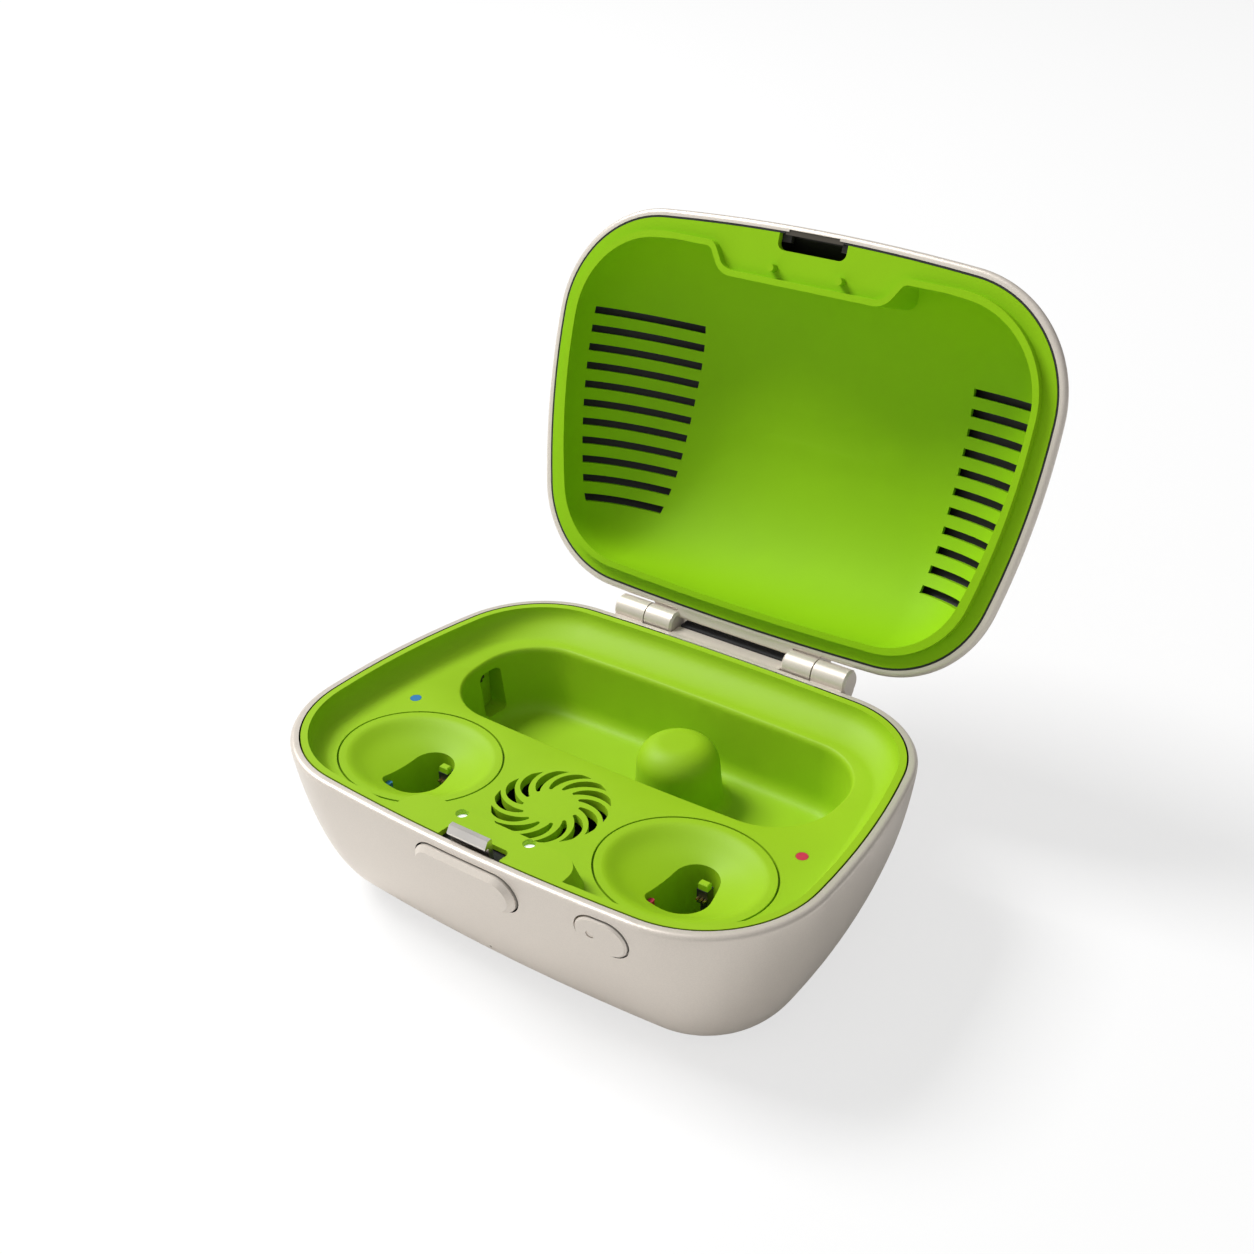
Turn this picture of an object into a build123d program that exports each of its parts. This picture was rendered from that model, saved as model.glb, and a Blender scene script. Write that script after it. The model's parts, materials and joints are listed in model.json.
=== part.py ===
from build123d import *
import math
import os

# Hearing aid dryer: a clamshell case with a green inner tray, two ear-piece wells, a store
# compartment, a small drying fan under a grille, a latched lid on two hinge knuckles and a
# power button. Millimetres, +Z up, +X to the owner's right, front towards -Y.
# Origin: centre of the rubber base pad's underside. The lid stands open at its stop.

# ---- Plan of the tray edge: five arcs mirrored about X = 0 -------------------------------
tray_width = 100.0          # across the widest line of the plan
tray_back = 47.6            # widest line to the middle of the back edge
tray_front = 22.1           # widest line to the middle of the front edge
back_bow = 1.85             # how far the back edge bows out
front_bow = 3.2             # how far the front edge bows out
back_flank_bow = 8.7        # how far the sides draw in towards the back
front_flank_bow = 0.25      # how far the sides draw in towards the front
back_corner = 19.0          # corner radii of the plan
front_corner = 20.2

# ---- Heights ------------------------------------------------------------------------------
rim_height = 30.0           # rest plane to the parting plane of base and lid
pad_proud = 0.5             # rubber pad below the case bottom
deck_drop = 4.4             # parting plane to the tray's deck
deck_thickness = 1.6
lid_rise = 22.3             # parting plane to the crown of the lid
liner_rise = 19.0           # parting plane to the crown of the lid liner's hollow

# ---- Mark on the front, low down -------------------------------------------------------------
mark_half = 1.0
mark_low = 6.2
mark_depth = 17.65          # widest line to the mark's floor, forwards

# ---- Walls and fits -------------------------------------------------------------------------
rim_land = 1.75             # shells stand out beyond the tray edge by this much
shell_wall = 1.75
lid_wall = 1.1
seam = 0.15                 # half of the gap between tray edge and shell
rim_round = 0.8             # rounding of the shells' outer rims
slip = 0.2                  # clearance round sliding pieces
button_gap = 0.3            # clearance round the two buttons in the case
running = 0.05              # radial clearance of pins and shafts
seat = 0.05                 # clearance of glued and pressed inserts

# ---- Profile of the base: inset(t) = base_fall * (1 - (1 - t^p)^(1/q)) -----------------------
base_fall = 21.1
base_p = 1.19
base_q = 4.16
base_spare = 0.25           # the profile would close flat this far below the case bottom

# ---- Profile of the lid: half sizes scale by (1 - t^p)^(1/q) --------------------------------
lid_px, lid_qx = 1.28, 4.3
lid_py, lid_qy = 1.30, 2.6
liner_q = 4.15

# ---- Base bottom ----------------------------------------------------------------------------
cover_inset = 13.4          # bottom cover's edge inside the tray plan
cover_ledge = 2.3           # width of the ledge that the cover closes against
cover_thickness = 1.5
pad_inset = 15.0
pad_thickness = 1.0

# ---- Hinge ----------------------------------------------------------------------------------
hinge_back = 51.45          # widest line to the hinge axis
hinge_lift = 0.15           # hinge axis above the parting plane
knuckle_radius = 2.45
knuckle_gap = 0.25
lid_knuckle_x = 12.0        # inner end of each lid knuckle
lid_knuckle_length = 6.1
base_knuckle_length = 6.75
knuckle_bevel = 0.4
blind_wall = 1.0            # closed inner end of each lid knuckle
pin_radius = 1.0
lid_open = 110.4            # degrees from closed to the stop
ledge_half = 11.75          # ledge of the base between the lid knuckles
ledge_back = 51.8           # widest line to the ledge's back edge
ledge_drop = 0.25           # parting plane to the ledge
ledge_bevel = 0.2
step_back = 55.0            # rear step that carries the rubber strip
step_drop = 0.6
strip_thickness = 0.55
bar_back = 50.2             # bar of the lid between its knuckles
bar_low, bar_high = 0.1, 3.0

# ---- Tray -----------------------------------------------------------------------------------
lip_land = 1.3              # flat lip round the tray
wall_foot = 4.4             # foot of the recess wall inside the edge
back_foot_extra = 3.2       # the back wall slopes this much further in
latch_pad_half = 17.2       # raised pad behind the latch
latch_pad_back = 14.8       # widest line to the pad's back edge, forwards
latch_pad_corner = 4.3
latch_pad_draft = 1.6
notch_half = 6.2            # gap in the tray that the hook passes through
notch_back = 19.2
notch_corner = 1.0

# ---- Store compartment ----------------------------------------------------------------------
store_side = 11.8           # its ends inside the widest line
store_mid = 25.3            # widest line to the compartment's middle
store_half_depth = 13.15
store_bow = 0.9
store_flank_bow = 2.2
store_corner = 11.5
store_depth = 13.0          # below the deck
store_wall = 1.4
post_x = 5.8                # rounded cone that parts the two bays
post_mid = 26.0
post_top_radius = 7.0
post_foot_radius = 7.9
post_round = 4.6            # rounding of its top
post_fillet = 2.0           # rounding of its foot
post_drop = 0.7             # its top below the deck
clip_mid = 27.0             # clip pocket in the left end wall
clip_width = 5.4
clip_height = 9.0
clip_drop = 2.2
clip_corner = 1.3
clip_recess = 2.4           # end wall to the pocket's floor
clip_side, clip_fall = 2.1, 2.3  # width and height of the sprung catch at its top
clip_inset = 0.45           # the catch keeps clear of the pocket's rounded corner
pocket_wall = 1.0

# ---- Wells ----------------------------------------------------------------------------------
well_x = 27.6
well_y = -3.15
well_rx, well_ry = 15.3, 13.1
bowl_rx, bowl_ry = 12.7, 10.7
well_ledge = 1.1
well_flange = 1.0
well_seam = 0.35            # open seam round each insert
well_wall = 1.2
well_mouth_x = 27.7         # centre of the elongated mouth
well_mouth_shift = 0.6      # both mouths sit this much to the right
well_mouth_y = -3.15
mouth_arcs = [(-0.3, 2.2, 4.0), (0.2, -2.2, 4.7), (-2.5, -4.8, 2.0)]  # its outline: X, Y, radius
bowl_depth = 3.4
bowl_spill = 0.45           # the bowl's form ends this much lower, inside the mouth
bowl_foot_rx, bowl_foot_ry = 3.2, 4.6
well_depth = 13.4           # deck to the floor of the well
contact_x = 1.8             # contact post right of the mouth's middle
contact_y = 2.9             # contact post behind the mouth's middle
contact_skew_x = 0.3        # nearer the wall in the left well by this much
contact_skew_y = 0.45
contact_drop = 3.0          # deck to the top of its cap
cap_height = 1.2
tab_x, tab_y = -3.8, -4.9   # colour tab from the mouth's middle
tab_drop = 4.1              # deck to its top

# ---- Fan ------------------------------------------------------------------------------------
fan_y = -1.8
grille_outer = 9.8
grille_inner = 4.9
grille_slots = 14
inner_round = 0.3           # rounding of each slot's inner end
grille_sweep = 38.0         # degrees that each slot sweeps from hub to edge
grille_slot_width = 2.05
grille_tip = 6.2            # half of the angle that a slot spans at the edge
grille_cut_y = -10.7        # grille ends in a straight line in front
fan_outer = 11.2
fan_height = 7.0
fan_wall = 1.0
fan_blades = 7
rotor_radius = 9.6
hub_radius = 4.6

# ---- Marks, guides --------------------------------------------------------------------------
dot_x, dot_y = 40.7, 10.0
dot_radius = 1.0
dot_depth = 0.4
peg_x, peg_y = 6.9, -15.8
peg_shift = 0.3             # both pegs sit this much to the right
peg_hole = 1.1
peg_radius = 0.7
guide_wall = 0.3
peg_length = 1.6

# ---- Latch ----------------------------------------------------------------------------------
latch_half = 10.2           # half width of the latch button
latch_top = 1.5             # below the parting plane
latch_height = 7.4
latch_proud = 1.3
latch_bevel = 0.9
latch_travel = 1.0
hook_half = 3.9
hook_rise = 2.5             # above the parting plane
hook_back = 20.6            # widest line to the hook's back face, forwards
hook_thickness = 1.0
hook_reach = 0.75           # nose ahead of the blade
hook_tip = 1.4              # height of the nose tip above the parting plane
keeper_thickness = 0.7
keeper_lift = 0.2
pocket_half = 5.1           # pocket in the lid that the hook enters
spring_x = 8.0
spring_radius = 1.3
spring_wire = 0.4
spring_turns = 5
spring_length = 4.2

# ---- Power button ---------------------------------------------------------------------------
power_x = 25.85
power_half = 4.6
power_top = 1.75
power_height = 6.8
power_proud = 0.45
power_bevel = 0.3
power_travel = 0.4
light_dx = -1.75
light_radius = 0.65

# ---- Lid liner ------------------------------------------------------------------------------
flange_thickness = 1.2
rib_outer = 2.45            # rib round the liner, inside the plan
rib_inner = 3.55
rib_drop = 1.6              # rib below the parting plane
liner_wall = 0.9
slot_count = 11
slot_pitch = 3.56
slot_first = -1.4           # widest line to the first slot
slot_width = 1.4
slot_inner = 28.4
slot_outer = 47.6
slot_foot = 3.9             # lowest point of the slots above the parting plane
lid_pad_half = 16.4         # pad in the liner, along the rib's middle line
lid_pad_wide = 19.3         # half width where its sides run into the rib in front
lid_pad_back = 13.5
lid_pad_shoulder = 18.0
lid_pad_corner = 3.6
lid_pad_turn = 2.0
lid_notch_half = 6.9
lid_notch_back = 19.1
lid_notch_corner = 1.4
gasket_gap = 0.45           # black seal between liner edge and shell

# ---- Inner parts ----------------------------------------------------------------------------
board_thickness = 1.6
board_level = 8.0
board_half = 33.0
screw_side = 23.0           # case screws inside the widest line
screw_rear = 20.6           # rear screws ahead of the back edge
screw_pitch = 11.5
screw_radius = 1.0
post_radius = 2.7
standoff_x = 20.0
standoff_radius = 2.0
usb_width, usb_height, usb_length = 9.0, 3.2, 7.4
battery_size = (38.0, 24.0, 4.3)
switch_size = (5.0, 3.2, 4.2)

wide_y = (tray_front - tray_back) / 2
base_reach = rim_height - pad_proud + base_spare
far = 1.5 * tray_width      # half size of the blocks that stand for a half space
store_half = tray_width / 2 - store_side
screw_x = tray_width / 2 - screw_side
screw_back = tray_back - screw_rear
screw_front = screw_back - screw_pitch
hinge_y = wide_y + hinge_back
hinge_z = rim_height + hinge_lift
deck_z = rim_height - deck_drop
under_deck = deck_z - deck_thickness
floor_z = pad_proud + cover_thickness
lid_plane = rim_height


def yw(distance):
    """Row-frame Y of a distance behind the widest line."""
    return wide_y + distance


# ---- Outlines -------------------------------------------------------------------------------
def corner_points(half, depth, bow, flank_bow, corner, grow):
    """Arc ends and middles of one quarter of a bowed outline, from the side to the end."""
    end_radius = (half**2 + bow**2) / (2 * bow)
    side_radius = (depth**2 + flank_bow**2) / (2 * flank_bow)
    end_center = Vector(0, depth - end_radius)
    side_center = Vector(half - side_radius, 0)
    a, b = end_radius - corner, side_radius - corner
    gap = side_center - end_center
    along = (gap.length**2 + a**2 - b**2) / (2 * gap.length)
    across = math.sqrt(a**2 - along**2)
    unit = gap.normalized()
    normal = Vector(-unit.Y, unit.X)
    crossings = [end_center + unit * along + normal * across * sign for sign in (1, -1)]
    corner_center = max(crossings, key=lambda point: point.X)

    def on_circle(center, radius, towards):
        return center + (towards - center).normalized() * (radius + grow)

    end_point = on_circle(end_center, end_radius, corner_center)
    side_point = on_circle(side_center, side_radius, corner_center)
    widest = Vector(half + grow, 0)
    side_mid = on_circle(side_center, side_radius, (widest + side_point) * 0.5)
    corner_mid = on_circle(corner_center, corner, (side_point + end_point) * 0.5)
    return widest, side_mid, side_point, corner_mid, end_point, Vector(0, depth + grow)


def bowed_outline(z, half, back, front, bows, flanks, corners, grow=0.0, mid_y=0.0):
    """Closed face of ten tangent arcs at height z; bows, flanks, corners are (back, front)."""
    rear = corner_points(half, back, bows[0], flanks[0], corners[0], grow)
    fore = corner_points(half, front, bows[1], flanks[1], corners[1], grow)

    def place(point, sx=1, sy=1):
        return (sx * point.X, mid_y + sy * point.Y, z)

    edges = []
    for sx, sy, quarter in ((1, 1, rear), (-1, 1, rear), (-1, -1, fore), (1, -1, fore)):
        chain = [place(p, sx, sy) for p in quarter[:5]]
        side = ThreePointArc(chain[0], chain[1], chain[2])
        corner = ThreePointArc(chain[2], chain[3], chain[4])
        if sx == sy:
            edges += [side, corner]
            ahead = place(quarter[5], sx, sy)
            edges.append(ThreePointArc(chain[4], ahead, place(quarter[4], -sx, sy)))
        else:
            edges += [ThreePointArc(chain[4], chain[3], chain[2]), ThreePointArc(chain[2], chain[1], chain[0])]
    return Face(Wire(edges))


def plan(z, grow=0.0, back_extra=0.0):
    """The tray plan at height z, grown by an offset, its back drawn in by back_extra."""
    return bowed_outline(
        z, tray_width / 2, tray_back - back_extra, tray_front, (back_bow, front_bow),
        (back_flank_bow, front_flank_bow), (back_corner, front_corner), grow, wide_y)


def plan_scaled(z, grow, sx, sy):
    """The plan grown by an offset, then scaled about the origin in X and Y."""
    corner = sy**1.12
    return bowed_outline(
        z, (tray_width / 2 + grow) * sx, (tray_back + grow) * sy, (tray_front + grow) * sy,
        (back_bow * sy, front_bow * sy), (back_flank_bow * sx, front_flank_bow * sx),
        ((back_corner + grow) * corner, (front_corner + grow) * corner), 0.0, wide_y * sy)


def prism(low, high, grow):
    """Upright block of the plan between two heights."""
    return extrude(plan(low, grow), high - low, dir=(0, 0, 1))


def block(x, y, z):
    """Box from three (low, high) pairs."""
    return Pos((x[0] + x[1]) / 2, (y[0] + y[1]) / 2, (z[0] + z[1]) / 2) * Box(
        x[1] - x[0], y[1] - y[0], z[1] - z[0])


def both(piece):
    """A piece and its mirror image across the middle plane."""
    return piece + mirror(piece, about=Plane.YZ)


def rod(radius, start, direction, length):
    """Cylinder of a radius from a start point along a direction."""
    plane = Plane(origin=start, z_dir=direction)
    return extrude(plane * Circle(radius), length)


# ---- Base shell -----------------------------------------------------------------------------
def base_inset(z):
    t = min(1.0, max(0.0, (rim_height - z) / base_reach))
    return base_fall * (1 - (1 - t**base_p)**(1 / base_q))


base_levels = [1.0, 0.91, 0.8, 0.66, 0.5, 0.36, 0.235, 0.14, 0.075, 0.03, 0.0]


def base_form(low, high, thinner):
    """Loft of the base profile between two heights, inset by thinner."""
    heights = [low + (high - low) * level for level in base_levels]
    return loft([plan(z, rim_land - base_inset(z) - thinner) for z in heights])


def stadium_prism(mid_x, top, half, height, grow, front, back):
    """Stadium seen from the front, extruded between two Y values."""
    middle_z = rim_height - top - height / 2
    plane = Plane(origin=(mid_x, front, middle_z), x_dir=(1, 0, 0), z_dir=(0, 1, 0))
    shape = SlotOverall(2 * (half + grow), height + 2 * grow)
    return extrude(plane * shape, back - front)


shell_bottom = pad_proud
ledge_top = under_deck - 0.3
ledge_bottom = ledge_top - 1.7
front_edge = wide_y - tray_front
carriage_front = wide_y - hook_back - hook_thickness + 0.1
carriage_back = carriage_front + 0.8
carriage_half = latch_half + 1.0
carriage_bottom = rim_height - latch_top - latch_height - 0.5
carriage_top = rim_height - 1.3
shelf_half = notch_half + 0.3   # shelf of the carriage that closes the notch from below
shelf_back = wide_y - notch_back + 0.2
shelf_thickness = 0.7
flange_front = wide_y - 20.95
flange_back = flange_front + 0.6
flange_half = power_half + 0.7
flange_bottom = rim_height - power_top - power_height - 0.5
flange_top = rim_height - power_top - 0.8
base_knuckle_x = lid_knuckle_x + lid_knuckle_length + knuckle_gap
knuckle_end = base_knuckle_x + base_knuckle_length
usb_z = board_level - usb_height / 2
usb_back = yw(42.4)
relief = 0.35               # room between a knuckle and the other shell


def knuckle(x_low, length, arm, end):
    """One hinge barrel on +X, bevelled at its end 0 or -1, with the gusset that ties it to its shell."""
    barrel = rod(knuckle_radius, (x_low, hinge_y, hinge_z), (1, 0, 0), length)
    barrel = chamfer(barrel.faces().sort_by(Axis.X)[end].edges(), knuckle_bevel)
    start = x_low if end else x_low + knuckle_bevel
    plane = Plane(origin=(start, 0, 0), x_dir=(0, 1, 0), z_dir=(1, 0, 0))
    gusset = extrude(plane * make_face(Polyline(*arm, close=True)), length - knuckle_bevel)
    return barrel + gusset


def make_base_shell():
    body = base_form(shell_bottom, rim_height, 0.0)
    rim_edges = body.edges().group_by(Axis.Z)[-1]
    body = fillet(rim_edges, rim_round)
    hollow = base_form(floor_z + 1.0, ledge_bottom, shell_wall)
    hollow += prism(ledge_bottom - 0.01, ledge_top + 0.01, -1.6)
    hollow += prism(ledge_top, rim_height + 1, seam)
    hollow += prism(shell_bottom - 1, floor_z, -cover_inset + seam)
    hollow += prism(floor_z - 0.01, floor_z + 1.01, -cover_inset - cover_ledge)
    body -= hollow
    # button holes and the pockets behind them
    front, back = front_edge - 5, front_edge + 3
    body -= stadium_prism(0, latch_top, latch_half, latch_height, button_gap, front, back)
    body -= stadium_prism(power_x, power_top, power_half, power_height, button_gap, front, back + 2)
    body -= block((-carriage_half - 0.5, carriage_half + 0.5), (carriage_front - seam, front_edge + 5),
                  (carriage_bottom - 0.4, rim_height - 1.0))
    body -= block((power_x - flange_half - 0.4, power_x + flange_half + 0.4),
                  (flange_front - seam, flange_front + 3), (flange_bottom - 0.3, flange_top + 0.3))
    # socket opening in the back wall
    socket = Plane(origin=(0, yw(38), usb_z), x_dir=(1, 0, 0), z_dir=(0, 1, 0))
    body -= extrude(socket * SlotOverall(usb_width + 2 * slip, usb_height + 2 * slip), 12)
    # small thumb mark low on the front
    body -= block((-mark_half, mark_half), (front_edge - 2, yw(-mark_depth)), (mark_low, mark_low + 0.9))
    # hinge: shelf between the lid knuckles, reliefs for them, own outer knuckles
    back_y = wide_y + tray_back + rim_land
    body += hinge_ledge(back_y)
    for side in (1, -1):
        start = side * (lid_knuckle_x - 0.2)
        body -= rod(knuckle_radius + relief, (start, hinge_y, hinge_z), (side, 0, 0),
                    lid_knuckle_length + knuckle_gap + 0.2)
    arm = [(hinge_y, hinge_z), (hinge_y + knuckle_radius, hinge_z), (hinge_y + 1.9, hinge_z - 2.6),
           (back_y - 1.0, rim_height - 8.0), (back_y - 1.7, rim_height - 8.0),
           (back_y - 1.4, hinge_z - 0.6)]
    own = knuckle(base_knuckle_x, base_knuckle_length, arm, -1)
    own -= rod(pin_radius + seat, (base_knuckle_x - 1, hinge_y, hinge_z), (1, 0, 0), base_knuckle_length)
    return body + both(own)


def hinge_ledge(back_y):
    """Bevelled ledge between the lid knuckles with a lower step behind it, braced to the wall."""
    top, step = rim_height - ledge_drop, rim_height - step_drop
    ledge_y, step_y = yw(ledge_back), yw(step_back)
    profile = [(back_y - 1.05, top), (ledge_y - ledge_bevel, top), (ledge_y, top - ledge_bevel),
               (ledge_y, step), (step_y, step), (step_y, step - 0.8), (ledge_y, step - 1.8),
               (back_y - 0.3, step - 4.6), (back_y - 1.3, step - 4.6)]
    plane = Plane(origin=(-ledge_half, 0, 0), x_dir=(0, 1, 0), z_dir=(1, 0, 0))
    return extrude(plane * make_face(Polyline(*profile, close=True)), 2 * ledge_half)


def make_hinge_strip():
    """Rubber strip on the ledge's rear step that the opened lid comes down towards."""
    step = rim_height - step_drop
    return block((-ledge_half + 0.15, ledge_half - 0.15), (yw(ledge_back) + seat, yw(step_back)),
                 (step, step + strip_thickness))


def make_bottom_cover():
    plate = prism(shell_bottom, floor_z, -cover_inset)
    plate -= prism(shell_bottom - 1, pad_thickness, -pad_inset + seam)
    for x in (-standoff_x, standoff_x):
        for y in (yw(-3.0), yw(29.2)):
            plate += rod(standoff_radius, (x, y, floor_z - 0.5), (0, 0, 1), board_level - floor_z + 0.5)
            plate -= rod(0.6, (x, y, floor_z + 0.5), (0, 0, 1), board_level)
    for x, y in screw_places():
        plate -= rod(screw_radius + slip, (x, y, 0), (0, 0, 1), 5)
        plate -= rod(2.1, (x, y, pad_thickness - 0.1), (0, 0, 1), 0.6)
    return plate


def screw_places():
    """The four cover screws, in plan."""
    return [(x, yw(y)) for x in (-screw_x, screw_x) for y in (screw_front, screw_back)]


def make_cover_screws():
    """Pan-head screws from below into the tray's posts."""
    screws = Part()
    for x, y in screw_places():
        head = rod(1.9, (x, y, pad_thickness), (0, 0, 1), 0.45)
        screws += head + rod(screw_radius, (x, y, pad_thickness + 0.4), (0, 0, 1), 6.0)
    return screws


# ---- Tray -----------------------------------------------------------------------------------
def store_outline(z, grow):
    """Compartment outline at height z."""
    return bowed_outline(
        z, store_half, store_half_depth, store_half_depth, (store_bow, store_bow),
        (store_flank_bow, store_flank_bow), (store_corner, store_corner), grow, yw(store_mid))


store_floor = deck_z - store_depth


def store_form(grow, lower):
    """Hollow or skin of the compartment: soft at the deck, drafted, round at the floor."""
    steps = [(0.0, 0.65), (0.2, 0.3), (0.7, 0.05), (1.6, -0.05), (5.0, -0.35), (9.0, -0.8),
             (11.3, -1.3), (12.3, -2.0), (12.8, -2.9), (13.0, -4.0)]
    sections = []
    for drop, size in steps:
        z = deck_z - drop * (store_depth + lower) / store_depth
        sections.append(store_outline(z, size + grow))
    return loft(sections)


def cone_post(grow, low):
    """Rounded cone between the bays as a turned solid, thinner by grow below zero."""
    foot, crown = post_foot_radius + grow, post_top_radius + grow
    top, floor = deck_z - post_drop + grow, store_floor + grow
    skirt = post_foot_radius + post_fillet + 0.2
    profile = [(0, low), (skirt, low), (skirt, floor), (foot, floor), (crown, top), (0, top)]
    outline = make_face(Polyline(*profile, close=True))
    outline = fillet([outline.vertices().sort_by_distance((foot, floor))[0]], post_fillet - grow)
    outline = fillet([outline.vertices().sort_by_distance((crown, top))[0]], post_round + grow)
    return Pos(post_x, yw(post_mid), 0) * revolve(Plane.XZ * outline, Axis.Z)


def clip_pocket(grow):
    """Hollow or skin of the pocket in the compartment's left end wall."""
    middle_z = deck_z - clip_drop - clip_height / 2
    plane = Plane(origin=(-store_half + 3, yw(clip_mid), middle_z), x_dir=(0, 1, 0), z_dir=(-1, 0, 0))
    outline = RectangleRounded(clip_width + 2 * grow, clip_height + 2 * grow, clip_corner + grow)
    return extrude(plane * outline, 3 + clip_recess + grow)


def grille_slot():
    """One curved fan slot: a leaf between two swept arcs, at angle zero."""
    def polar(radius, degrees):
        angle = math.radians(degrees)
        return (radius * math.cos(angle), radius * math.sin(angle))

    mean = (grille_inner + grille_outer) / 2
    half = math.degrees(grille_slot_width / 2 / mean)
    inner_half = half / 2
    turn = -grille_sweep
    bulge = 4.0
    lead = ThreePointArc(polar(grille_inner, inner_half), polar(mean, half + turn / 2 + bulge),
                         polar(grille_outer, turn + grille_tip))
    tail = ThreePointArc(polar(grille_outer, turn - grille_tip), polar(mean, -half + turn / 2 + bulge),
                         polar(grille_inner, -inner_half))
    rim = ThreePointArc(lead @ 1, polar(grille_outer, turn), tail @ 0)
    hub = ThreePointArc(tail @ 1, polar(grille_inner - inner_round, 0), lead @ 0)
    return Face(Wire([lead, rim, tail, hub]))


def grille_cut(low, high):
    """All grille slots as cutters, clipped by the straight front line."""
    slot = grille_slot()
    cutters = Part()
    for index in range(grille_slots):
        turned = Pos(0, yw(fan_y), low) * Rot(0, 0, 360 / grille_slots * index) * slot
        cutters += extrude(turned, high - low, dir=(0, 0, 1))
    keep = block((-20, 20), (yw(grille_cut_y), yw(20)), (low, high))
    return cutters & keep


def ellipse_prism(rx, ry, x, y, low, high):
    return extrude(Pos(x, y, low) * Ellipse(rx, ry), high - low)


def latch_pad(grow, top, bottom):
    """Raised pad in the tray, drafted outwards to the deck."""
    def level(z, more):
        depth = tray_front - latch_pad_back + 6 + more
        middle = wide_y - latch_pad_back + more - depth / 2
        return Pos(0, middle, z) * RectangleRounded(
            2 * (latch_pad_half + more), depth, latch_pad_corner + more)

    return loft([level(top, grow), level(bottom, grow + latch_pad_draft)])


def make_tray():
    edge = -seam
    body = prism(under_deck, rim_height, edge)
    body += store_form(store_wall, store_wall) & block(
        (-far, far), (-far, far), (store_floor - store_wall, deck_z - 0.5))
    body += clip_pocket(pocket_wall)
    recess = loft([
        plan(rim_height + 0.5, -lip_land), plan(rim_height - 0.4, -lip_land - 0.1, 0.1),
        plan(rim_height - 2.0, -lip_land - 0.5, 0.5), plan(rim_height - 3.3, -2.7, 1.5),
        plan(rim_height - 4.1, -3.6, 2.5), plan(deck_z, -wall_foot, back_foot_extra)])
    recess -= latch_pad(0.0, rim_height - 0.1, deck_z - 0.1)
    recess -= latch_pad(0.0, rim_height + 1, rim_height - 0.1)
    top_slice = latch_pad(0.0, rim_height + 1, rim_height - 0.1)
    body -= recess
    body -= top_slice & prism(rim_height - 0.1, rim_height + 1, -lip_land)
    body -= store_form(0.0, 0.0)
    post = cone_post(0.0, store_floor - 0.3)
    body += post
    body -= cone_post(-store_wall, store_floor - store_wall - 1)
    # rib that the latch springs push against
    rib_front = carriage_back + spring_length
    body += block((-spring_x - 2.2, spring_x + 2.2), (rib_front, rib_front + 1.0),
                  (under_deck - 4.6, under_deck + 0.2))
    body -= grille_cut(under_deck - 1, deck_z + 1)
    for side in (-1, 1):
        x, y = side * well_x, yw(well_y)
        body -= ellipse_prism(well_rx, well_ry, x, y, deck_z - well_flange, deck_z + 1)
        body -= ellipse_prism(well_rx - well_ledge, well_ry - well_ledge, x, y, under_deck - 1, deck_z)
        body -= rod(dot_radius + seat, (side * dot_x, yw(dot_y), deck_z - dot_depth), (0, 0, 1), 2)
        body -= rod(peg_hole, (peg_shift + side * peg_x, yw(peg_y), under_deck - 1), (0, 0, 1), deck_drop + 4)
    # notch and pockets for the latch and the power button
    notch_depth = tray_front - notch_back + 5
    notch = Pos(0, wide_y - notch_back - notch_depth / 2, under_deck - 1) * RectangleRounded(
        2 * notch_half, notch_depth, notch_corner)
    body -= extrude(notch, deck_drop + 6)
    body -= block((-carriage_half - 0.5, carriage_half + 0.5),
                  (front_edge - 1, carriage_back + latch_travel + 0.4), (under_deck - 1, rim_height - 1.0))
    body -= block((-shelf_half - slip, shelf_half + slip), (front_edge, shelf_back + latch_travel + slip),
                  (carriage_top - shelf_thickness - slip, rim_height - 1.0))
    body -= block((power_x - flange_half - 0.4, power_x + flange_half + 0.4),
                  (front_edge - 1, flange_back + power_travel + 0.1), (under_deck - 1, flange_top + 0.3))
    body -= stadium_prism(power_x, power_top, power_half, power_height, button_gap,
                          front_edge - 1, flange_front + power_travel + 0.1)
    body -= clip_pocket(0.0)
    # screw posts down to the cover
    for x, y in screw_places():
        body += rod(post_radius, (x, y, floor_z), (0, 0, 1), store_floor - store_wall / 2 - floor_z)
        body -= rod(screw_radius + seat, (x, y, floor_z - 1), (0, 0, 1), 6.5)
    return body


def make_tray_gasket():
    """Black seal under the tray's edge, open behind the two buttons."""
    ring = prism(ledge_top, under_deck, 0.0) - prism(ledge_top - 1, under_deck + 1, -1.3)
    ring -= block((-carriage_half - 0.5, carriage_half + 0.5), (front_edge - 5, front_edge + 5), (0, far))
    return ring - block((power_x - flange_half - 0.4, power_x + flange_half + 0.4),
                        (front_edge - 5, front_edge + 5), (0, far))


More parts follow.
